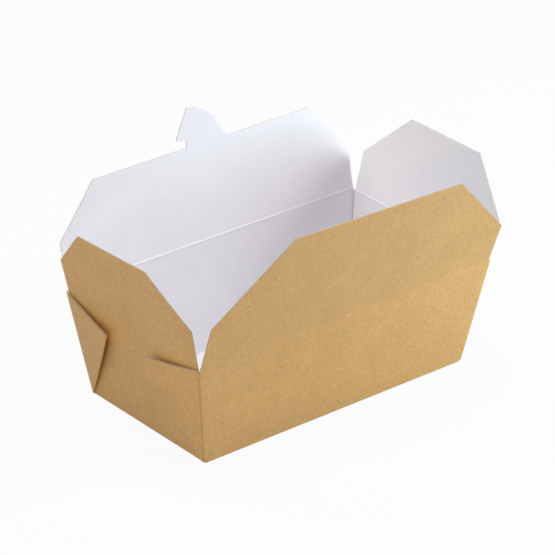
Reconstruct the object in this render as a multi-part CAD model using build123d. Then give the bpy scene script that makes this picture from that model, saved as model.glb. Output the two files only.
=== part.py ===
from build123d import *
import os
from math import atan, cos, radians, sin, tan

# An open takeaway box folded from one sheet of coated board. The tray's four corners are
# web corners: the board between two walls is folded double and laid back over the end wall.
# Four lid flaps stand up from creases along the tray's rim. The rear one carries a hook tab
# that locks into a slit in the front one.
# Lengths are in millimetres and angles in degrees. The origin is the middle of the base's
# outer face, X runs along the box, and the front wall is at negative Y.

# The board, the air between closed flaps, and the bend left open at each crease
board = 0.5
layer_gap = 0.15
crease_gap = 0.15

# The tray, measured on the middle of the board
base_length = 181.0
base_width = 94.5
opening_length = 200.0
opening_width = 111.0
depth = 62.0
base_fold_radius = 0.5

# The web corners: the doubled board's reach from the base corner to its free tip, how far
# it springs off the end wall, its top edge's drop and hollow, and the seam in the fold
web_reach = 63.9
web_spring_angle = 8.0
web_top_drop = 0.8
web_top_hollow = 1.5
web_seam = 0.1

# The flaps: slant heights, straight free edges, and how far each leans out from upright.
# The front flap's height follows from where the closed rear flap ends and how far they overlap
flap_overlap = 14.0
front_side_height = 26.0
front_edge_length = 112.8
front_lean_angle = 17.5
rear_height = 54.2
rear_side_height = 26.5
rear_edge_length = 150.0
rear_lean_angle = 12.0
end_height = 50.5
end_side_height = 22.5
end_edge_length = 56.0
left_lean_angle = 15.5
right_lean_angle = 19.0
long_flap_inset = 0.7
end_flap_inset = 1.0
cut_corner_radius = 0.8

# The hook tab, measured from the middle of the rear flap's straight edge
tab_neck_left = 11.1
tab_peak_left = 8.0
tab_peak_height = 21.9
tab_crown_right = 0.5
tab_crown_height = 19.1
tab_shoulder_right = 9.2
tab_shoulder_height = 12.7
tab_waist_right = 12.9
tab_waist_height = 5.1
tab_bend_right = 14.7
tab_bend_height = 2.4
tab_foot_right = 17.6
hook_notch = 4.0
hook_reach = 6.8
hook_drop = 1.2
hook_corner_radius = 1.0

# The slit in the front flap that takes the tab's neck
slit_width = 0.2
slit_side_room = 1.5

# Worked-out slopes, levels and places
end_slope = (opening_length - base_length) / 2 / depth
side_slope = (opening_width - base_width) / 2 / depth
end_tilt = atan(end_slope)
side_tilt = atan(side_slope)
end_face_shift = board / 2 / cos(end_tilt)
side_face_shift = board / 2 / cos(side_tilt)
end_crease_z = depth
front_crease_z = end_crease_z + board + layer_gap
rear_crease_z = front_crease_z + board + layer_gap
rim_drop = board / 2 + crease_gap
web_thickness = 2 * board + web_seam
corner_fold_radius = (board + web_thickness) / 2


def half_length(z):
    """Half the tray's length at a height, on the middle of the board."""
    return base_length / 2 + end_slope * z


def half_width(z):
    """Half the tray's width at a height, on the middle of the board."""
    return base_width / 2 + side_slope * z


front_crease_y = -half_width(front_crease_z)
rear_crease_y = half_width(rear_crease_z)
end_crease_x = half_length(end_crease_z)
long_flap_half = end_crease_x - long_flap_inset
end_flap_half = half_width(end_crease_z) - side_face_shift - end_flap_inset
slit_rise = rear_crease_y - front_crease_y - rear_height
front_height = slit_rise + flap_overlap


def tapered_block(side, low, high):
    """The tray's tapered form out to the board's outer (1) or inner (-1) face."""
    ends = []
    for z in (low, high):
        length = 2 * (half_length(z) + side * end_face_shift)
        width = 2 * (half_width(z) + side * side_face_shift)
        ends.append(Plane.XY.offset(z) * Rectangle(length, width))
    return loft(ends, ruled=True)


def tray_walls():
    """Base and four walls, each wall ending just below its own crease."""
    top = rear_crease_z - rim_drop
    outer = tapered_block(1, 0, top)
    outer = fillet(outer.edges().group_by(Axis.Z)[0], base_fold_radius)
    walls = outer - tapered_block(-1, board, top + board)
    clear_height = 2 * (top - end_crease_z + rim_drop)
    clear_width = 2 * half_width(top) + depth
    ends_cut = Box(depth, clear_width, clear_height, align=(Align.MIN, Align.CENTER, Align.MIN))
    for turn in (0, 180):
        end_place = Rot(0, 0, turn) * Pos(long_flap_half, 0, end_crease_z - rim_drop)
        walls -= end_place * ends_cut
    front_cut = Box(2 * half_length(top), depth, clear_height, align=(Align.CENTER, Align.MAX, Align.MIN))
    walls -= Pos(0, 0, front_crease_z - rim_drop) * front_cut
    return walls


def web_corner():
    """The doubled board laid over the right end wall from its front corner, slightly sprung."""
    foot = Vector(half_length(0) + end_face_shift, -half_width(0) - side_face_shift, 0)
    head = Vector(end_crease_x + end_face_shift, -half_width(end_crease_z) - side_face_shift, end_crease_z)
    edge_way = (head - foot).normalized()
    end_normal = Vector(cos(end_tilt), 0, -sin(end_tilt))
    inward = edge_way.cross(end_normal).normalized()

    # The sheet has a full turn at the base corner, and half of what the base and the two
    # walls leave of it lies on each side of the web's fold
    full_turn = 360
    base_corner = 90
    front_wall_corner = edge_way.get_angle(Vector(-1, 0, 0))
    end_wall_corner = edge_way.get_angle(Vector(0, 1, 0))
    half_web = radians((full_turn - base_corner - front_wall_corner - end_wall_corner) / 2)

    # Section across the corner edge: x runs in along the end wall, y runs out of its face
    spring = radians(web_spring_angle)
    slant = web_thickness / cos(spring)
    turn = corner_fold_radius
    section = Polygon(
        (0, -board / 2),
        (turn, -board / 2),
        (turn, turn * tan(spring)),
        (web_reach, web_reach * tan(spring)),
        (web_reach, web_reach * tan(spring) + slant),
        (0, slant),
        align=None,
    )
    outer_corner = section.vertices().sort_by_distance(Vector(0, slant, 0))[0]
    section = fillet(outer_corner, turn)
    above_head = head + edge_way * depth
    section_plane = Plane(above_head, x_dir=inward, z_dir=-edge_way)
    strip = extrude(section_plane * section, amount=3 * depth)

    # Outline of the web in its own sprung plane, from the foot up the fold to the tip
    sprung = inward * cos(spring) + end_normal * sin(spring)
    web_plane = Plane(foot, x_dir=sprung, z_dir=sprung.cross(edge_way))
    low = Vector(0, board, 0)
    tip = Vector(web_reach * sin(half_web), web_reach * cos(half_web), 0)
    top = Vector(0, (head - foot).length - rim_drop - web_top_drop, 0)
    hollow = (tip + top) / 2 - Vector(0, web_top_hollow, 0)
    edge_room = Vector(-board, 0, 0)
    outline = make_face(
        [
            Line(low + edge_room, low),
            Line(low, tip),
            ThreePointArc(tip, hollow, top),
            Line(top, top + edge_room),
            Line(top + edge_room, low + edge_room),
        ]
    )
    web = strip & extrude(web_plane * outline, amount=web_reach, both=True)

    # The seam between the two layers opens at the top and ends inside the fold
    fold_way = (tip - low).normalized()
    fold_inset = Vector(-fold_way.Y, fold_way.X, 0) * board
    seam_low = low + fold_inset + fold_way * ((turn - fold_inset.X) / fold_way.X)
    seam_tip = tip + fold_inset + fold_way * turn
    seam_top = Vector(turn, top.Y + turn, 0)
    seam = make_face(Polyline(seam_low, seam_tip, seam_top, close=True))
    seam_plane = web_plane.offset(board)
    return web - extrude(seam_plane * seam, amount=web_seam)


def tray():
    """The tray with its four web corners."""
    body = tray_walls()
    web = web_corner()
    rear_web = mirror(web, about=Plane.XZ)
    for corner in (web, rear_web, mirror(web, about=Plane.YZ), mirror(rear_web, about=Plane.YZ)):
        body += corner
    return body


def flap_outline(half_root, side_height, height, edge_length):
    """A flap's flat outline: upright sides, then sloping shoulders to a straight free edge."""
    half_edge = edge_length / 2
    outline = Polygon(
        (-half_root, 0),
        (half_root, 0),
        (half_root, side_height),
        (half_edge, height),
        (-half_edge, height),
        (-half_root, side_height),
        align=None,
    )
    cut_corners = outline.vertices().filter_by(lambda corner: corner.Y > side_height / 2)
    return fillet(cut_corners, cut_corner_radius)


def flap_plane(crease, along, outward, lean):
    """The plane of a flap: x along its crease, y up the flap, leaning outwards."""
    up = outward * sin(radians(lean)) + Vector(0, 0, cos(radians(lean)))
    return Plane(crease, x_dir=along, z_dir=along.cross(up))


def flap(outline, plane, half_root):
    """A flap of board with a round root that turns on its crease."""
    sheet = extrude(plane * outline, amount=board / 2, both=True)
    root = Plane(plane.origin, z_dir=plane.x_dir) * Cylinder(board / 2, 2 * half_root)
    return sheet + root


def hook_tab():
    """The hook tab, rooted in the rear flap's straight edge."""
    root = -hook_notch
    notch_top = (-tab_neck_left, hook_notch)
    barb = (-tab_neck_left - hook_reach, hook_notch + hook_drop)
    peak = (-tab_peak_left, tab_peak_height)
    crown = (tab_crown_right, tab_crown_height)
    shoulder = (tab_shoulder_right, tab_shoulder_height)
    waist = (tab_waist_right, tab_waist_height)
    bend = (tab_bend_right, tab_bend_height)
    tab = make_face(
        [
            Line((-tab_neck_left, root), notch_top),
            Line(notch_top, barb),
            Line(barb, peak),
            ThreePointArc(peak, crown, shoulder),
            Line(shoulder, waist),
            ThreePointArc(waist, bend, (tab_foot_right, 0)),
            Line((tab_foot_right, 0), (tab_foot_right, root)),
            Line((tab_foot_right, root), (-tab_neck_left, root)),
        ]
    )
    rounded = []
    for point in (barb, peak):
        rounded.append(tab.vertices().sort_by_distance(Vector(point[0], point[1], 0))[0])
    return fillet(rounded, hook_corner_radius)


def front_flap():
    """The front flap, with the slit where the closed rear flap's tab goes through."""
    outline = flap_outline(long_flap_half, front_side_height, front_height, front_edge_length)
    slit_length = tab_neck_left + tab_foot_right + 2 * slit_side_room
    slit_middle = (tab_foot_right - tab_neck_left) / 2
    outline -= Pos(slit_middle, slit_rise, 0) * Rectangle(slit_length, slit_width)
    crease = Vector(0, front_crease_y, front_crease_z)
    plane = flap_plane(crease, Vector(1, 0, 0), Vector(0, -1, 0), front_lean_angle)
    return flap(outline, plane, long_flap_half)


def rear_flap():
    """The rear flap with its hook tab."""
    outline = flap_outline(long_flap_half, rear_side_height, rear_height, rear_edge_length)
    outline += Pos(0, rear_height, 0) * hook_tab()
    crease = Vector(0, rear_crease_y, rear_crease_z)
    plane = flap_plane(crease, Vector(1, 0, 0), Vector(0, 1, 0), rear_lean_angle)
    return flap(outline, plane, long_flap_half)


def end_flap(side, lean):
    """The left (-1) or right (1) end flap."""
    outline = flap_outline(end_flap_half, end_side_height, end_height, end_edge_length)
    crease = Vector(side * end_crease_x, 0, end_crease_z)
    plane = flap_plane(crease, Vector(0, 1, 0), Vector(side, 0, 0), lean)
    return flap(outline, plane, end_flap_half)


pieces = {
    "tray": tray(),
    "front_flap": front_flap(),
    "rear_flap": rear_flap(),
    "left_end_flap": end_flap(-1, left_lean_angle),
    "right_end_flap": end_flap(1, right_lean_angle),
}
os.makedirs("parts", exist_ok=True)
for name, shape in pieces.items():
    export_step(shape, f"parts/{name}.step")
    print(name, "volume", round(shape.volume), "valid", shape.is_valid)
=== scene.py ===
import bpy
from math import atan, cos, exp, pi, radians, sin, tan
from mathutils import Matrix, Vector
from mathutils.geometry import delaunay_2d_cdt


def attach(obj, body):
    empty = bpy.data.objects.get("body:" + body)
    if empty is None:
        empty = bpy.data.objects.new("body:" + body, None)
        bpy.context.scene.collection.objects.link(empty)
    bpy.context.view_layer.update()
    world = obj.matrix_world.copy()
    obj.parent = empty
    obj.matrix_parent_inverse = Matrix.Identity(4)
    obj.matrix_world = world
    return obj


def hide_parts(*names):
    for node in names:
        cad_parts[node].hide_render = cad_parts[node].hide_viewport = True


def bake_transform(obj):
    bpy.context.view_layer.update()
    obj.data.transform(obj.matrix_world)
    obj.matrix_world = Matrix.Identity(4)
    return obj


# An open takeaway box folded from one sheet of board, brown outside and coated white inside.
# The tray with its folded web corners, the four lid flaps and the creases between them are
# modelled as the thin sheet that they are. Lengths are in millimetres and angles in degrees;
# every mesh is scaled to metres when it is made.

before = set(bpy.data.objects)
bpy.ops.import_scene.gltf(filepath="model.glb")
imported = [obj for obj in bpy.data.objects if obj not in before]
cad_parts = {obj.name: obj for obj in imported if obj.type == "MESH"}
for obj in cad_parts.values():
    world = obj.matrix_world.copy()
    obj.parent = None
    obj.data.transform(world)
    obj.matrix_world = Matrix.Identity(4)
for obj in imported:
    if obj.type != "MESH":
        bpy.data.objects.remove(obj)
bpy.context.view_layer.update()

metre = 0.001
board = 0.5
half_board = board / 2
layer_gap = 0.15

# The tray, on the middle of the board
base_length = 178.0
base_width = 94.5
opening_length = 200.0
opening_width = 111.0
depth = 62.0
base_fold_radius = 0.75
base_corner_radius = 1.2

# The web corners: each web's tip is given in from the corner edge and up along it
front_web_tip = (39.8, 50.2)
rear_web_tip = (35.5, 49.1)
front_spring_angle = 4.3
rear_spring_angle = 5.8
web_top_drop = 0.3
web_top_hollow = 0.7
web_layer_pitch = 0.55
web_lift = 0.3
web_fold_stand = 1.45
web_least_reach = 1.6
corner_fold_radius = 0.9

# The flaps: how far each leans out from upright, and its four cut corners, from the one
# at the high end of its crease round to the other: along the crease and up the flap
front_lean_angle = 17.5
rear_lean_angle = 12.0
left_lean_angle = 15.5
right_lean_angle = 19.0
front_shape = ((99.5, 25.5), (57.4, 68.9), (-56.0, 72.6), (-99.5, 27.0))
rear_shape = ((100.0, 26.1), (74.85, 53.4), (-74.75, 53.4), (-99.9, 25.0))
left_shape = ((53.4, 22.2), (29.2, 48.5), (-27.3, 50.9), (-54.95, 24.1))
right_shape = ((54.95, 23.3), (27.6, 51.35), (-27.35, 51.25), (-54.25, 22.5))
long_flap_inset = 0.6
end_flap_inset = 1.0
cut_corner_radius = 0.8
corner_steps = 5

# How far the flaps' sides curl out at most, where each curl starts along the crease, how
# wide it is, and how far up the flap it is full
front_curl_depth = 0.9
rear_curl_depth = 1.4
long_curl_start = 70
long_curl_width = 30
long_curl_rise = 25
rear_edge_curl_depth = 0.5
rear_edge_curl_start = 94
rear_edge_curl_width = 6
rear_edge_curl_rise = 10
left_curl_depth = -1.4
right_curl_depth = -1.2
end_curl_width = 54.25
end_curl_rise = 22.5

# The hook tab, from the middle of the rear flap's top edge: along the edge and up from it
tab_root = (17.6, 0)
tab_neck = ((14.7, 2.4), (12.9, 5.1))
tab_shoulder = (9.2, 12.7)
tab_crown = (0.5, 19.1)
tab_peak = (-8.0, 21.9)
tab_barb = (-17.9, 5.2)
tab_notch = ((-11.1, 4.0), (-11.1, 0))
tab_neck_radius = 3.0
tab_shoulder_radius = 0.6
tab_tip_radius = 1.0
tab_notch_radii = (0.15, 0.3)
tab_arc_steps = 10

# The slit in the front flap that takes the tab's neck
slit_left = -12.6
slit_right = 19.1
slit_half_width = 0.02

# The creases: half the width of the bent strip, and its bead inside and groove outside
crease_half = 1.0
bead_height = 0.28
bead_width = 0.5
groove_depth = 0.015
crease_rows = 12
crease_columns = 40

# How finely the flat sheets are divided, and the angle from which an edge is sharp
plate_spacing = 4.0
border_clearance = plate_spacing / 3
merge_distance = 1e-7
sharp_angle = 40

# Worked-out slopes, levels and places
end_slope = (opening_length - base_length) / 2 / depth
side_slope = (opening_width - base_width) / 2 / depth
end_tilt = atan(end_slope)
side_tilt = atan(side_slope)
mean_tilt = (end_tilt + side_tilt) / 2
end_crease_z = depth
front_crease_z = end_crease_z + board + layer_gap
rear_crease_z = front_crease_z + board + layer_gap


def half_length(z):
    """Half the tray's length at a height, on the middle of the board."""
    return base_length / 2 + end_slope * z


def half_width(z):
    """Half the tray's width at a height, on the middle of the board."""
    return base_width / 2 + side_slope * z


end_crease_x = half_length(end_crease_z)
long_flap_half = end_crease_x - long_flap_inset
end_flap_half = half_width(end_crease_z) - half_board / cos(side_tilt) - end_flap_inset


# Materials

kraft_tones = ((0.690, 0.395, 0.124), (0.745, 0.434, 0.141))
dark_fleck = (0.38, 0.21, 0.085)
pale_fleck = (0.70, 0.47, 0.25)
white_tones = ((0.782, 0.762, 0.792), (0.803, 0.785, 0.812))
edge_tones = ((0.42, 0.31, 0.20), (0.58, 0.45, 0.32))
kraft_relief = 0.00006
white_relief = 0.00005
edge_relief = 0.0001


def new_material(name):
    """An empty node material, its nodes, links and surface shader."""
    material = bpy.data.materials.new(name)
    material.use_nodes = True
    nodes = material.node_tree.nodes
    return material, nodes, material.node_tree.links, nodes["Principled BSDF"]


def noise(nodes, links, coordinates, scale, detail, roughness, distortion=0.0):
    """A noise texture's value."""
    texture = nodes.new("ShaderNodeTexNoise")
    texture.inputs["Scale"].default_value = scale
    texture.inputs["Detail"].default_value = detail
    texture.inputs["Roughness"].default_value = roughness
    texture.inputs["Distortion"].default_value = distortion
    links.new(coordinates, texture.inputs["Vector"])
    return texture.outputs["Fac"]


def ramp(nodes, links, value, stops):
    """A colour ramp over a value."""
    node = nodes.new("ShaderNodeValToRGB")
    elements = node.color_ramp.elements
    while len(elements) < len(stops):
        elements.new(0.5)
    for element, (place, colour) in zip(elements, stops):
        element.position = place
        element.color = (*colour, 1)
    links.new(value, node.inputs["Fac"])
    return node.outputs["Color"]


def grey(level):
    """A grey colour."""
    return (level, level, level)


def mix(nodes, links, how, factor, first, second):
    """Two colours mixed; the factor may be a number or a socket."""
    node = nodes.new("ShaderNodeMix")
    node.data_type = "RGBA"
    node.blend_type = how
    if isinstance(factor, float):
        node.inputs["Factor"].default_value = factor
    else:
        links.new(factor, node.inputs["Factor"])
    for name, source in (("A", first), ("B", second)):
        socket = [s for s in node.inputs if s.name == name and s.type == "RGBA"][0]
        if isinstance(source, tuple):
            socket.default_value = (*source, 1)
        else:
            links.new(source, socket)
    return [s for s in node.outputs if s.type == "RGBA"][0]


def bump(nodes, links, height, strength, distance):
    """A bump normal from a height value."""
    node = nodes.new("ShaderNodeBump")
    node.inputs["Strength"].default_value = strength
    node.inputs["Distance"].default_value = distance
    links.new(height, node.inputs["Height"])
    return node.outputs["Normal"]


def kraft_material():
    """Brown outer face: short pressed fibres, cloudy tone and a few dark and pale flecks."""
    material, nodes, links, shader = new_material("kraft_face")
    place = nodes.new("ShaderNodeTexCoord").outputs["Object"]
    cloud = noise(nodes, links, place, 45, 3, 0.55)
    fibre = noise(nodes, links, place, 620, 4, 0.6, 2.2)
    grain = noise(nodes, links, place, 2600, 2, 0.5)
    fleck = noise(nodes, links, place, 420, 1, 0.4, 2.5)
    colour = ramp(nodes, links, cloud, [(0.3, kraft_tones[0]), (0.7, kraft_tones[1])])
    fibres = ramp(nodes, links, fibre, [(0.28, grey(0.74)), (0.5, grey(1.0)), (0.72, grey(1.22))])
    colour = mix(nodes, links, "MULTIPLY", 1.0, colour, fibres)
    grains = ramp(nodes, links, grain, [(0.3, grey(0.93)), (0.7, grey(1.06))])
    colour = mix(nodes, links, "MULTIPLY", 1.0, colour, grains)
    dark = ramp(nodes, links, fleck, [(0.20, grey(0.7)), (0.28, grey(0.0))])
    colour = mix(nodes, links, "MIX", dark, colour, dark_fleck)
    pale = ramp(nodes, links, fleck, [(0.74, grey(0.0)), (0.82, grey(0.7))])
    colour = mix(nodes, links, "MIX", pale, colour, pale_fleck)
    links.new(colour, shader.inputs["Base Color"])
    relief = mix(nodes, links, "MIX", 0.35, fibre, grain)
    links.new(bump(nodes, links, relief, 0.35, kraft_relief), shader.inputs["Normal"])
    gloss = ramp(nodes, links, fibre, [(0.2, grey(0.62)), (0.8, grey(0.5))])
    links.new(gloss, shader.inputs["Roughness"])
    shader.inputs["IOR"].default_value = 1.5
    shader.inputs["Specular IOR Level"].default_value = 0.6
    shader.inputs["Sheen Weight"].default_value = 0.05
    shader.inputs["Sheen Roughness"].default_value = 0.5
    return material


def white_material():
    """Coated white inner face: smooth and satin, with the fibres just felt under the coat."""
    material, nodes, links, shader = new_material("white_face")
    place = nodes.new("ShaderNodeTexCoord").outputs["Object"]
    cloud = noise(nodes, links, place, 60, 3, 0.5)
    fibre = noise(nodes, links, place, 700, 3, 0.5, 1.2)
    colour = ramp(nodes, links, cloud, [(0.3, white_tones[0]), (0.7, white_tones[1])])
    fibres = ramp(nodes, links, fibre, [(0.25, grey(0.97)), (0.6, grey(1.0))])
    colour = mix(nodes, links, "MULTIPLY", 1.0, colour, fibres)
    links.new(colour, shader.inputs["Base Color"])
    links.new(bump(nodes, links, fibre, 0.15, white_relief), shader.inputs["Normal"])
    gloss = ramp(nodes, links, cloud, [(0.3, grey(0.40)), (0.7, grey(0.46))])
    links.new(gloss, shader.inputs["Roughness"])
    shader.inputs["IOR"].default_value = 1.48
    return material


def edge_material():
    """Cut edge: the pale fibrous core of the board between its two faces."""
    material, nodes, links, shader = new_material("cut_edge")
    place = nodes.new("ShaderNodeTexCoord").outputs["Object"]
    fibre = noise(nodes, links, place, 1500, 3, 0.6, 1.0)
    colour = ramp(nodes, links, fibre, [(0.3, edge_tones[0]), (0.7, edge_tones[1])])
    links.new(colour, shader.inputs["Base Color"])
    links.new(bump(nodes, links, fibre, 0.5, edge_relief), shader.inputs["Normal"])
    shader.inputs["Roughness"].default_value = 0.9
    return material


kraft, white, edge = 0, 1, 2
board_materials = (kraft_material(), white_material(), edge_material())


def new_piece(name, points, faces, kinds):
    """A mesh object from points in millimetres, with one material index per face."""
    mesh = bpy.data.meshes.new(name)
    mesh.from_pydata([Vector(p) * metre for p in points], [], faces)
    for material in board_materials:
        mesh.materials.append(material)
    mesh.polygons.foreach_set("material_index", kinds)
    mesh.polygons.foreach_set("use_smooth", [True] * len(faces))
    mesh.set_sharp_from_angle(angle=radians(sharp_angle))
    mesh.validate()
    mesh.update()
    piece = bpy.data.objects.new(name, mesh)
    bpy.context.scene.collection.objects.link(piece)
    return piece


# The tray: one ring of the sheet round the walls and through the four web corners

row_count = 26
fillet_steps = 6
layer_steps = 10
fold_steps = 8
long_wall_columns = 25
end_wall_columns = 15
base_fold_steps = 5
row_crowding = 1.35


def eased(share):
    """A share that starts and ends gently."""
    return share * share * (3 - 2 * share)


def side_wall_angle(front_normal):
    """The direction of the long wall's outer face, as an angle in a corner section."""
    return pi + atan(front_normal.y / front_normal.x)


def turn_points(centre, radius, start, end, steps):
    """Points and directions on an arc from one angle to another, both ends included."""
    found = []
    for i in range(steps + 1):
        angle = start + (end - start) * i / steps
        way = Vector((cos(angle), sin(angle)))
        found.append((centre + way * radius, way))
    return found


def corner_section(reach, front_normal, spring):
    """The middle of the board round the right front corner, seen along the corner edge.

    X runs in along the end wall and Y out of its outer face. Each entry is a place, the
    direction of the brown face, a part name and how far along that part it is."""
    along = Vector((cos(spring), sin(spring)))
    out = Vector((-sin(spring), cos(spring)))
    outer_lift = web_lift + web_layer_pitch
    section = []

    # Round fold from the front wall into the outer layer
    inset = half_board + corner_fold_radius
    rise = outer_lift - corner_fold_radius
    across = front_normal.x * out.y - front_normal.y * out.x
    centre_in = -inset * out.y - rise * front_normal.y
    centre_out = inset * out.x + rise * front_normal.x
    centre = Vector((centre_in, centre_out)) / across
    begin = side_wall_angle(front_normal)
    end = pi / 2 + spring
    fold = turn_points(centre, corner_fold_radius, begin, end, fillet_steps)
    for i, (place, way) in enumerate(fold):
        section.append((place, way, "corner", i / fillet_steps))

    # Outer layer, hairpin at the web's fold, and inner layer
    first = centre.dot(along)
    for i in range(1, layer_steps):
        share = i / layer_steps
        place = along * (first + (reach - first) * share) + out * outer_lift
        section.append((place, out, "web", share))
    middle = along * reach + out * (web_lift + web_layer_pitch / 2)
    for place, way in turn_points(middle, web_layer_pitch / 2, end, end - pi, fold_steps):
        section.append((place, way, "web", 1.0))
    stand_height = web_lift + web_fold_stand * sin(spring) + half_board * cos(spring)
    stand_radius = stand_height / (1 + cos(spring))
    stand = Vector((web_fold_stand, stand_radius - half_board))
    last = stand.dot(along)
    for i in range(layer_steps - 1, 0, -1):
        share = i / layer_steps
        place = along * (last + (reach - last) * share) + out * web_lift
        section.append((place, -out, "web", share))

    # Hairpin from the inner layer into the end wall
    hairpin = turn_points(stand, stand_radius, end, 1.5 * pi, fold_steps)
    for i, (place, way) in enumerate(hairpin):
        section.append((place, -way, "stand", i / fold_steps))
    return section


def web_corner(long_crease_z, web_tip, spring):
    """Columns of brown and white points from the front wall through the web to the end wall."""
    end_face = half_board / cos(end_tilt)
    side_face = half_board / cos(side_tilt)
    foot = Vector((half_length(0) + end_face, -half_width(0) - side_face, 0))
    head = Vector((end_crease_x + end_face, -half_width(end_crease_z) - side_face, end_crease_z))
    edge_way = (head - foot).normalized()
    end_normal = Vector((cos(end_tilt), 0, -sin(end_tilt)))
    side_normal = Vector((0, -cos(side_tilt), -sin(side_tilt)))
    inward = edge_way.cross(end_normal).normalized()
    front_normal = Vector((side_normal.dot(inward), side_normal.dot(end_normal)))

    tip_in, tip_up = web_tip
    head_up = (head - foot).length - web_top_drop

    def placed(flat, up):
        return foot + edge_way * up + inward * flat.x + end_normal * flat.y

    def level(flat, z):
        return (z - inward.z * flat.x - end_normal.z * flat.y) / edge_way.z

    low_z = base_fold_radius * (1 - sin(mean_tilt))
    front_top = long_crease_z - crease_half * cos(side_tilt)
    end_top = end_crease_z - crease_half * cos(end_tilt)
    base_centre = Vector((base_corner_radius, -base_corner_radius))
    count = len(corner_section(web_least_reach, front_normal, spring))
    columns = [[] for _ in range(count)]
    start_angle = side_wall_angle(front_normal)
    for i in range(count):
        angle = start_angle + (pi / 2 - start_angle) * i / (count - 1)
        way = Vector((cos(angle), sin(angle)))
        pair = []
        for radius in (base_corner_radius, base_corner_radius - board):
            flat = base_centre + way * radius
            pair.append(placed(flat, level(flat, low_z)))
        columns[i].append(tuple(pair))
    for row in range(1, row_count + 1):
        share = (row / row_count) ** row_crowding
        reach = max(web_least_reach, tip_in * share)
        section = corner_section(reach, front_normal, spring)
        for i, (flat, way, part, along) in enumerate(section):
            if part == "corner":
                blend = eased(along)
                top = level(flat, front_top) * (1 - blend) + head_up * blend
            elif part == "stand":
                blend = eased(along)
                top = level(flat, end_top) * blend + head_up * (1 - blend)
            else:
                hollow = 4 * web_top_hollow * along * (1 - along)
                top = head_up * (1 - along) + tip_up * along - hollow
            up = level(flat, low_z) * (1 - share) + top * share
            brown = placed(flat + way * half_board, up)
            pale = placed(flat - way * half_board, up)
            columns[i].append((brown, pale))
    return columns


def mirrored(columns, x, y):
    """Columns mirrored to another corner; a single mirror turns their order round."""
    turned = []
    for column in columns:
        turned.append([tuple(Vector((p.x * x, p.y * y, p.z)) for p in pair) for pair in column])
    if x * y < 0:
        turned.reverse()
    return turned


def between(first, last, count):
    """Flat wall columns spread between two columns."""
    columns = []
    for i in range(1, count + 1):
        share = i / (count + 1)
        column = []
        for start, end in zip(first, last):
            column.append(tuple(a.lerp(b, share) for a, b in zip(start, end)))
        columns.append(column)
    return columns


def make_tray():
    """The tray as one closed thin sheet."""
    front = web_corner(front_crease_z, front_web_tip, radians(front_spring_angle))
    rear = web_corner(rear_crease_z, rear_web_tip, radians(rear_spring_angle))
    corners = [
        mirrored(front, 1, 1),
        mirrored(rear, 1, -1),
        mirrored(rear, -1, -1),
        mirrored(front, -1, 1),
    ]
    ring = []
    for i, corner in enumerate(corners):
        ring += corner
        following = corners[(i + 1) % 4][0]
        wall_columns = end_wall_columns if i % 2 == 0 else long_wall_columns
        ring += between(corner[-1], following, wall_columns)

    # Round fold from each wall's foot into the base
    points = []
    for column in ring:
        brown, pale = column[0]
        way = brown - pale
        way.z = 0
        way.normalize()
        wall_normal = way * cos(mean_tilt) - Vector((0, 0, sin(mean_tilt)))
        centre = brown - wall_normal * base_fold_radius
        rows = []
        for step in range(base_fold_steps, 0, -1):
            angle = mean_tilt + (pi / 2 - mean_tilt) * step / base_fold_steps
            down = way * cos(angle) - Vector((0, 0, sin(angle)))
            outer = centre + down * base_fold_radius
            inner = centre + down * (base_fold_radius - board)
            rows.append((outer, inner))
        points.append(rows + column)

    height = len(points[0])
    width = len(points)
    vertices = []
    for side in (0, 1):
        for column in points:
            vertices += [pair[side] for pair in column]

    def index(side, column, row):
        return side * width * height + (column % width) * height + row

    faces = []
    kinds = []

    def add(kind, *corners):
        faces.append([index(*corner) for corner in corners])
        kinds.append(kind)

    top = height - 1
    for here in range(width):
        after = here + 1
        for row in range(top):
            add(kraft, (kraft, here, row), (kraft, after, row),
                (kraft, after, row + 1), (kraft, here, row + 1))
            add(white, (white, here, row + 1), (white, after, row + 1),
                (white, after, row), (white, here, row))
        add(edge, (kraft, here, top), (kraft, after, top), (white, after, top), (white, here, top))
    faces.append([index(kraft, column, 0) for column in reversed(range(width))])
    kinds.append(kraft)
    faces.append([index(white, column, 0) for column in range(width)])
    kinds.append(white)
    piece = new_piece("tray_sheet", vertices, faces, kinds)
    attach(piece, "tray")
    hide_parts("tray")


# The flaps

def rounded(corners, radii):
    """A closed outline with its corners rounded, each by its own radius."""
    outline = []
    count = len(corners)
    for i, (corner, radius) in enumerate(zip(corners, radii)):
        here = Vector(corner)
        if radius == 0:
            outline.append(here)
            continue
        before = (Vector(corners[i - 1]) - here).normalized()
        after = (Vector(corners[(i + 1) % count]) - here).normalized()
        half = before.angle(after) / 2
        reach = radius / tan(half)
        centre = here + (before + after).normalized() * (radius / sin(half))
        start = here + before * reach - centre
        end = here + after * reach - centre
        for step in range(corner_steps + 1):
            outline.append(centre + start.slerp(end, step / corner_steps) * radius)
    return outline


def inside(point, outline):
    """Whether a flat point lies inside an outline."""
    found = False
    for i in range(len(outline)):
        a, b = outline[i - 1], outline[i]
        if (a.y > point.y) != (b.y > point.y):
            if point.x < (b.x - a.x) * (point.y - a.y) / (b.y - a.y) + a.x:
                found = not found
    return found


def spaced(outline):
    """The outline with extra points along its long edges, so that a curl runs smoothly."""
    points = []
    for i, here in enumerate(outline):
        following = outline[(i + 1) % len(outline)]
        steps = max(1, round((following - here).length / plate_spacing))
        points += [here.lerp(following, step / steps) for step in range(steps)]
    return points


def on_board(point, outline, holes):
    """Whether a flat point lies on the board of an outline with holes."""
    return inside(point, outline) and not any(inside(point, hole) for hole in holes)


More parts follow.
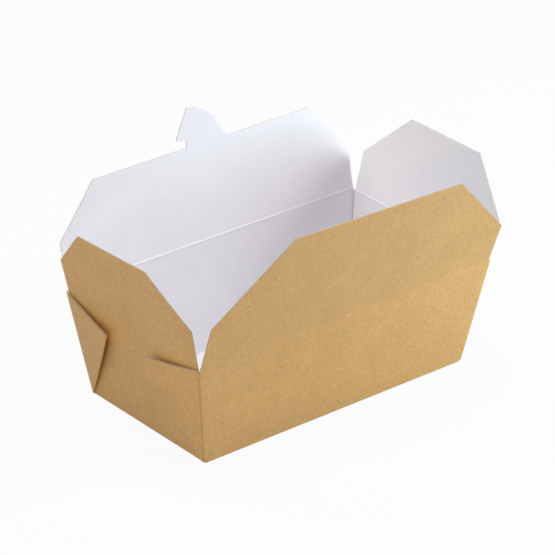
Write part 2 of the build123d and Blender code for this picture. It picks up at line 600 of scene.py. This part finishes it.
def triangulated(outline, holes):
    """Points and triangles that fill an outline with holes, evenly spaced inside."""
    flat = list(outline)
    edges = [(i, (i + 1) % len(outline)) for i in range(len(outline))]
    for hole in holes:
        first = len(flat)
        flat += hole
        edges += [(first + i, first + (i + 1) % len(hole)) for i in range(len(hole))]
    low_x = min(p.x for p in outline)
    high_x = max(p.x for p in outline)
    low_y = min(p.y for p in outline)
    high_y = max(p.y for p in outline)
    border = list(flat)
    for i in range(int((high_x - low_x) / plate_spacing) + 1):
        for j in range(int((high_y - low_y) / plate_spacing) + 1):
            x = low_x + (i + 0.5) * plate_spacing
            y = low_y + (j + 0.5) * plate_spacing
            point = Vector((x, y))
            if not on_board(point, outline, holes):
                continue
            if min((point - p).length for p in border) > border_clearance:
                flat.append(point)
    filled = delaunay_2d_cdt(flat, edges, [], 1, merge_distance)
    points, triangles = filled[0], filled[2]
    kept = []
    for triangle in triangles:
        centre = sum((points[i] for i in triangle), Vector((0, 0))) / 3
        if on_board(centre, outline, holes):
            kept.append(list(triangle))
    return points, kept


def make_plate(name, body, outline, holes, place, facing):
    """A plate of board from its flat outline.

    Place gives the middle of the board at a flat point, and facing its brown side."""
    flat_points, kept = triangulated(spaced(outline), holes)
    count = len(flat_points)
    out = [facing(p.x, p.y) for p in flat_points]
    middle = [place(p.x, p.y) for p in flat_points]
    points = [m + o * half_board for m, o in zip(middle, out)]
    points += [m - o * half_board for m, o in zip(middle, out)]
    a, b, c = kept[0]
    normal = (middle[b] - middle[a]).cross(middle[c] - middle[a])
    turned = normal.dot(out[a]) < 0
    faces = []
    kinds = []
    rim_steps = {}
    for triangle in kept:
        ring = triangle[::-1] if turned else triangle
        faces.append(ring)
        kinds.append(kraft)
        faces.append([count + i for i in reversed(ring)])
        kinds.append(white)
        for i in range(3):
            step = (ring[i], ring[(i + 1) % 3])
            if step[::-1] in rim_steps:
                del rim_steps[step[::-1]]
            else:
                rim_steps[step] = True
    for first, second in rim_steps:
        faces.append([second, first, count + first, count + second])
        kinds.append(edge)
    piece = new_piece(name, points, faces, kinds)
    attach(piece, body)
    return piece


def make_crease(name, crease, along, wall_up, wall_out, flap_up, flap_out, half):
    """The strip of board that bends between a wall and its flap, beaded inside."""
    rows = crease_rows
    columns = crease_columns
    low = crease - wall_up * crease_half
    high = crease + flap_up * crease_half
    points = []
    for side in (kraft, white):
        for i in range(columns + 1):
            across = along * (half * (2 * i / columns - 1))
            for j in range(rows + 1):
                share = j / rows
                flat = (2 * share - 1) * crease_half
                middle = low * (1 - share) ** 2
                middle += crease * 2 * share * (1 - share)
                middle += high * share ** 2
                out = wall_out.lerp(flap_out, share).normalized()
                swell = exp(-((flat / bead_width) ** 2))
                if side == kraft:
                    points.append(middle + across + out * (half_board - groove_depth * swell))
                else:
                    points.append(middle + across - out * (half_board + bead_height * swell))
    turned = along.cross(flap_up).dot(flap_out) < 0

    def index(side, column, row):
        return side * (columns + 1) * (rows + 1) + column * (rows + 1) + row

    faces = []
    kinds = []

    def add(kind, *corners):
        face = [index(*corner) for corner in corners]
        faces.append(face[::-1] if turned else face)
        kinds.append(kind)

    for i in range(columns):
        after = i + 1
        for j in range(rows):
            add(kraft, (kraft, i, j), (kraft, after, j), (kraft, after, j + 1), (kraft, i, j + 1))
            add(white, (white, i, j + 1), (white, after, j + 1), (white, after, j), (white, i, j))
        add(edge, (white, i, 0), (white, after, 0), (kraft, after, 0), (kraft, i, 0))
        add(edge, (kraft, i, rows), (kraft, after, rows), (white, after, rows), (white, i, rows))
    for j in range(rows):
        add(edge, (kraft, 0, j), (kraft, 0, j + 1), (white, 0, j + 1), (white, 0, j))
        add(edge, (white, columns, j), (white, columns, j + 1),
            (kraft, columns, j + 1), (kraft, columns, j))
    piece = new_piece(name, points, faces, kinds)
    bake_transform(piece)


def flap_corners(half_root, shape):
    """Corners of a flap's outline from its crease strip up, and their rounding."""
    corners = [(-half_root, crease_half), (half_root, crease_half)] + list(shape)
    radii = [0, 0] + [cut_corner_radius] * len(shape)
    return corners, radii


def make_flap(node, crease, along, outward, tilt, lean_angle, half_root, outline, holes, curl):
    """A flap with its crease strip. Curl gives how far a point lies out of the flat flap."""
    name = node + "_sheet"
    lean = radians(lean_angle)
    flap_up = outward * sin(lean) + Vector((0, 0, cos(lean)))
    flap_out = outward * cos(lean) - Vector((0, 0, sin(lean)))
    wall_up = outward * sin(tilt) + Vector((0, 0, cos(tilt)))
    wall_out = outward * cos(tilt) - Vector((0, 0, sin(tilt)))

    def place(x, y):
        return crease + along * x + flap_up * y + flap_out * curl(x, y)

    def facing(x, y):
        step = 0.5
        right = place(x + step, y) - place(x - step, y)
        up = place(x, y + step) - place(x, y - step)
        normal = right.cross(up).normalized()
        return normal if normal.dot(flap_out) > 0 else -normal

    piece = make_plate(name, node, outline, holes, place, facing)
    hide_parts(node)
    make_crease(name + "_crease", crease, along,
                wall_up, wall_out, flap_up, flap_out, half_root)


def hook_outline():
    """The rear flap's outline with the hook tab on its straight edge."""
    corners, radii = flap_corners(long_flap_half, rear_shape)
    top = rear_shape[1][1]

    def raised(point):
        return (point[0], top + point[1])

    shoulder = raised(tab_shoulder)
    peak = raised(tab_peak)
    arc = curve_points(shoulder, raised(tab_crown), peak, tab_arc_steps)
    tab = [raised(tab_root)] + [raised(point) for point in tab_neck] + [shoulder]
    tab += arc
    tab += [peak, raised(tab_barb)] + [raised(point) for point in tab_notch]
    tab_radii = [0] + [tab_neck_radius] * len(tab_neck) + [tab_shoulder_radius]
    tab_radii += [0] * len(arc)
    tab_radii += [tab_tip_radius, tab_tip_radius, *tab_notch_radii]

    # The tab follows the second of the flap's own four corners
    corners[4:4] = tab
    radii[4:4] = tab_radii
    return rounded(corners, radii)


def curve_points(start, through, end, steps):
    """Inner points of the arc from start to end through a third point."""
    ax, ay = start
    bx, by = through
    cx, cy = end
    a_square = ax ** 2 + ay ** 2
    b_square = bx ** 2 + by ** 2
    c_square = cx ** 2 + cy ** 2
    divisor = 2 * (ax * (by - cy) + bx * (cy - ay) + cx * (ay - by))
    centre_x = (a_square * (by - cy) + b_square * (cy - ay) + c_square * (ay - by)) / divisor
    centre_y = (a_square * (cx - bx) + b_square * (ax - cx) + c_square * (bx - ax)) / divisor
    centre = Vector((centre_x, centre_y))
    first = Vector(start) - centre
    last = Vector(end) - centre
    points = []
    for i in range(1, steps):
        points.append(tuple(centre + first.slerp(last, i / steps) * first.length))
    return points


def side_curl(most, share, power, y, rise):
    """How far a side curls: nothing before its start, and in full above its rise."""
    return most * max(0, share) ** power * min(1, y / rise)


def front_curl(x, y):
    """The front flap's right side curls out a little."""
    share = (x - long_curl_start) / long_curl_width
    return side_curl(front_curl_depth, share, 2, y, long_curl_rise)


def rear_curl(x, y):
    """The rear flap's left side curls back, and its right side only at the very edge."""
    left_share = (-x - long_curl_start) / long_curl_width
    right_share = (x - rear_edge_curl_start) / rear_edge_curl_width
    left = side_curl(rear_curl_depth, left_share, 2, y, long_curl_rise)
    right = side_curl(rear_edge_curl_depth, right_share, 2, y, rear_edge_curl_rise)
    return left + right


def left_curl(x, y):
    """The left end flap's front side curls in a little."""
    return side_curl(left_curl_depth, -x / end_curl_width, 3, y, end_curl_rise)


def right_curl(x, y):
    """The right end flap's rear side curls in a little."""
    return side_curl(right_curl_depth, x / end_curl_width, 3, y, end_curl_rise)


def make_flaps():
    """The four flaps."""
    x_way = Vector((1, 0, 0))
    y_way = Vector((0, 1, 0))
    front = Vector((0, -half_width(front_crease_z), front_crease_z))
    rear = Vector((0, half_width(rear_crease_z), rear_crease_z))
    left = Vector((-end_crease_x, 0, end_crease_z))
    right = Vector((end_crease_x, 0, end_crease_z))
    slit_rise = rear.y - front.y - rear_shape[1][1]
    slit = [
        Vector((slit_left, slit_rise - slit_half_width)),
        Vector((slit_right, slit_rise - slit_half_width)),
        Vector((slit_right, slit_rise + slit_half_width)),
        Vector((slit_left, slit_rise + slit_half_width)),
    ]
    front_outline = rounded(*flap_corners(long_flap_half, front_shape))
    left_outline = rounded(*flap_corners(end_flap_half, left_shape))
    right_outline = rounded(*flap_corners(end_flap_half, right_shape))
    make_flap("front_flap", front, x_way, -y_way, side_tilt, front_lean_angle,
              long_flap_half, front_outline, [slit], front_curl)
    make_flap("rear_flap", rear, x_way, y_way, side_tilt, rear_lean_angle,
              long_flap_half, hook_outline(), [], rear_curl)
    make_flap("left_end_flap", left, y_way, -x_way, end_tilt, left_lean_angle,
              end_flap_half, left_outline, [], left_curl)
    make_flap("right_end_flap", right, y_way, x_way, end_tilt, right_lean_angle,
              end_flap_half, right_outline, [], right_curl)


make_tray()
make_flaps()


# Camera, floor and light, in metres

camera_place = (-1.06973, -1.25459, 0.91037)
camera_azimuth = -40.3926
camera_elevation = 27.2637
camera_roll = 1.0655
camera_lens = 225.50
camera_sensor = 36
camera_reach = 50
floor_half = 12
floor_grey = 0.55
floor_whiteness = 0.94
studio_strength = 0.04
middle_of_box = (0, 0, 0.05)
right_of_box = (0.1, -0.05, 0.08)
plain_light = (1, 1, 1)


def make_camera():
    """The camera at the photograph's place, turned to its view and slight roll."""
    azimuth = radians(camera_azimuth)
    elevation = radians(camera_elevation)
    roll = radians(camera_roll)
    back = Vector((sin(azimuth) * cos(elevation), -cos(azimuth) * cos(elevation), sin(elevation)))
    right = Vector((cos(azimuth), sin(azimuth), 0))
    up = back.cross(right)
    side = right * cos(roll) + up * sin(roll)
    top = up * cos(roll) - right * sin(roll)
    data = bpy.data.cameras.new("camera")
    data.sensor_width = camera_sensor
    data.lens = camera_lens
    data.clip_end = camera_reach
    camera = bpy.data.objects.new("camera", data)
    matrix = Matrix((side, top, back)).transposed().to_4x4()
    matrix.translation = Vector(camera_place)
    camera.matrix_world = matrix
    bpy.context.scene.collection.objects.link(camera)
    bpy.context.scene.camera = camera


def seen_directly(nodes, links):
    """1 for camera, glossy and transmission rays, else 0."""
    rays = nodes.new("ShaderNodeLightPath")
    total = None
    for name in ("Is Camera Ray", "Is Glossy Ray", "Is Transmission Ray"):
        if total is None:
            total = rays.outputs[name]
            continue
        node = nodes.new("ShaderNodeMath")
        node.operation = "MAXIMUM"
        links.new(total, node.inputs[0])
        links.new(rays.outputs[name], node.inputs[1])
        total = node.outputs[0]
    return total


def make_floor():
    """A plain white floor that keeps a soft shadow."""
    size = floor_half
    corners = [(-size, -size, 0), (size, -size, 0), (size, size, 0), (-size, size, 0)]
    mesh = bpy.data.meshes.new("floor")
    mesh.from_pydata(corners, [], [(0, 1, 2, 3)])
    floor = bpy.data.objects.new("floor", mesh)
    bpy.context.scene.collection.objects.link(floor)
    material, nodes, links, shader = new_material("floor")
    nodes.remove(shader)
    diffuse = nodes.new("ShaderNodeBsdfDiffuse")
    diffuse.inputs["Color"].default_value = (*grey(floor_grey), 1)
    glow = nodes.new("ShaderNodeEmission")
    glow.inputs["Color"].default_value = (1, 1, 1, 1)
    share = nodes.new("ShaderNodeMath")
    share.operation = "MULTIPLY"
    links.new(seen_directly(nodes, links), share.inputs[0])
    share.inputs[1].default_value = floor_whiteness
    blend = nodes.new("ShaderNodeMixShader")
    links.new(share.outputs[0], blend.inputs[0])
    links.new(diffuse.outputs[0], blend.inputs[1])
    links.new(glow.outputs[0], blend.inputs[2])
    links.new(blend.outputs[0], nodes["Material Output"].inputs["Surface"])
    mesh.materials.append(material)


def make_world():
    """Even studio surroundings, seen as white."""
    world = bpy.data.worlds.new("studio")
    bpy.context.scene.world = world
    world.use_nodes = True
    nodes = world.node_tree.nodes
    links = world.node_tree.links
    soft = nodes["Background"]
    soft.inputs["Color"].default_value = (0.97, 0.98, 1.0, 1)
    soft.inputs["Strength"].default_value = studio_strength
    plain = nodes.new("ShaderNodeBackground")
    plain.inputs["Color"].default_value = (1, 1, 1, 1)
    plain.inputs["Strength"].default_value = 1
    blend = nodes.new("ShaderNodeMixShader")
    links.new(seen_directly(nodes, links), blend.inputs[0])
    links.new(soft.outputs[0], blend.inputs[1])
    links.new(plain.outputs[0], blend.inputs[2])
    links.new(blend.outputs[0], nodes["World Output"].inputs["Surface"])


def make_lamp(name, place, target, size, power, colour):
    """A soft square lamp aimed at a point."""
    data = bpy.data.lights.new(name, "AREA")
    data.shape = "SQUARE"
    data.size = size
    data.energy = power
    data.color = colour
    lamp = bpy.data.objects.new(name, data)
    lamp.location = place
    lamp.rotation_euler = (Vector(target) - Vector(place)).to_track_quat("-Z", "Y").to_euler()
    bpy.context.scene.collection.objects.link(lamp)


make_camera()
make_floor()
make_world()
make_lamp("main", (1.00, -0.68, 0.75), middle_of_box, 0.5, 10.3, plain_light)
make_lamp("left_high", (-0.8, 0.15, 1.15), (0.1, 0, 0.05), 0.4, 5.0, plain_light)
make_lamp("left_fill", (-1.1, -0.40, 0.65), (-0.1, 0, 0.05), 0.7, 1.4, plain_light)
make_lamp("left_low", (-1.35, -0.62, 0.30), middle_of_box, 0.25, 2.2, (1, 0.86, 0.62))
make_lamp("overhead", (0.1, -0.1, 1.4), middle_of_box, 0.6, 7.3, plain_light)
make_lamp("rear_fill", (-0.1, 0.7, 1.2), middle_of_box, 0.5, 4.2, plain_light)
make_lamp("key", (0.42, -0.33, 0.10), right_of_box, 0.16, 0.38, (0.68, 0.88, 1))
make_lamp("right_key", (0.45, -0.20, 0.16), right_of_box, 0.16, 1.25, (0.68, 0.88, 0.98))

bpy.context.scene.view_settings.view_transform = "Standard"
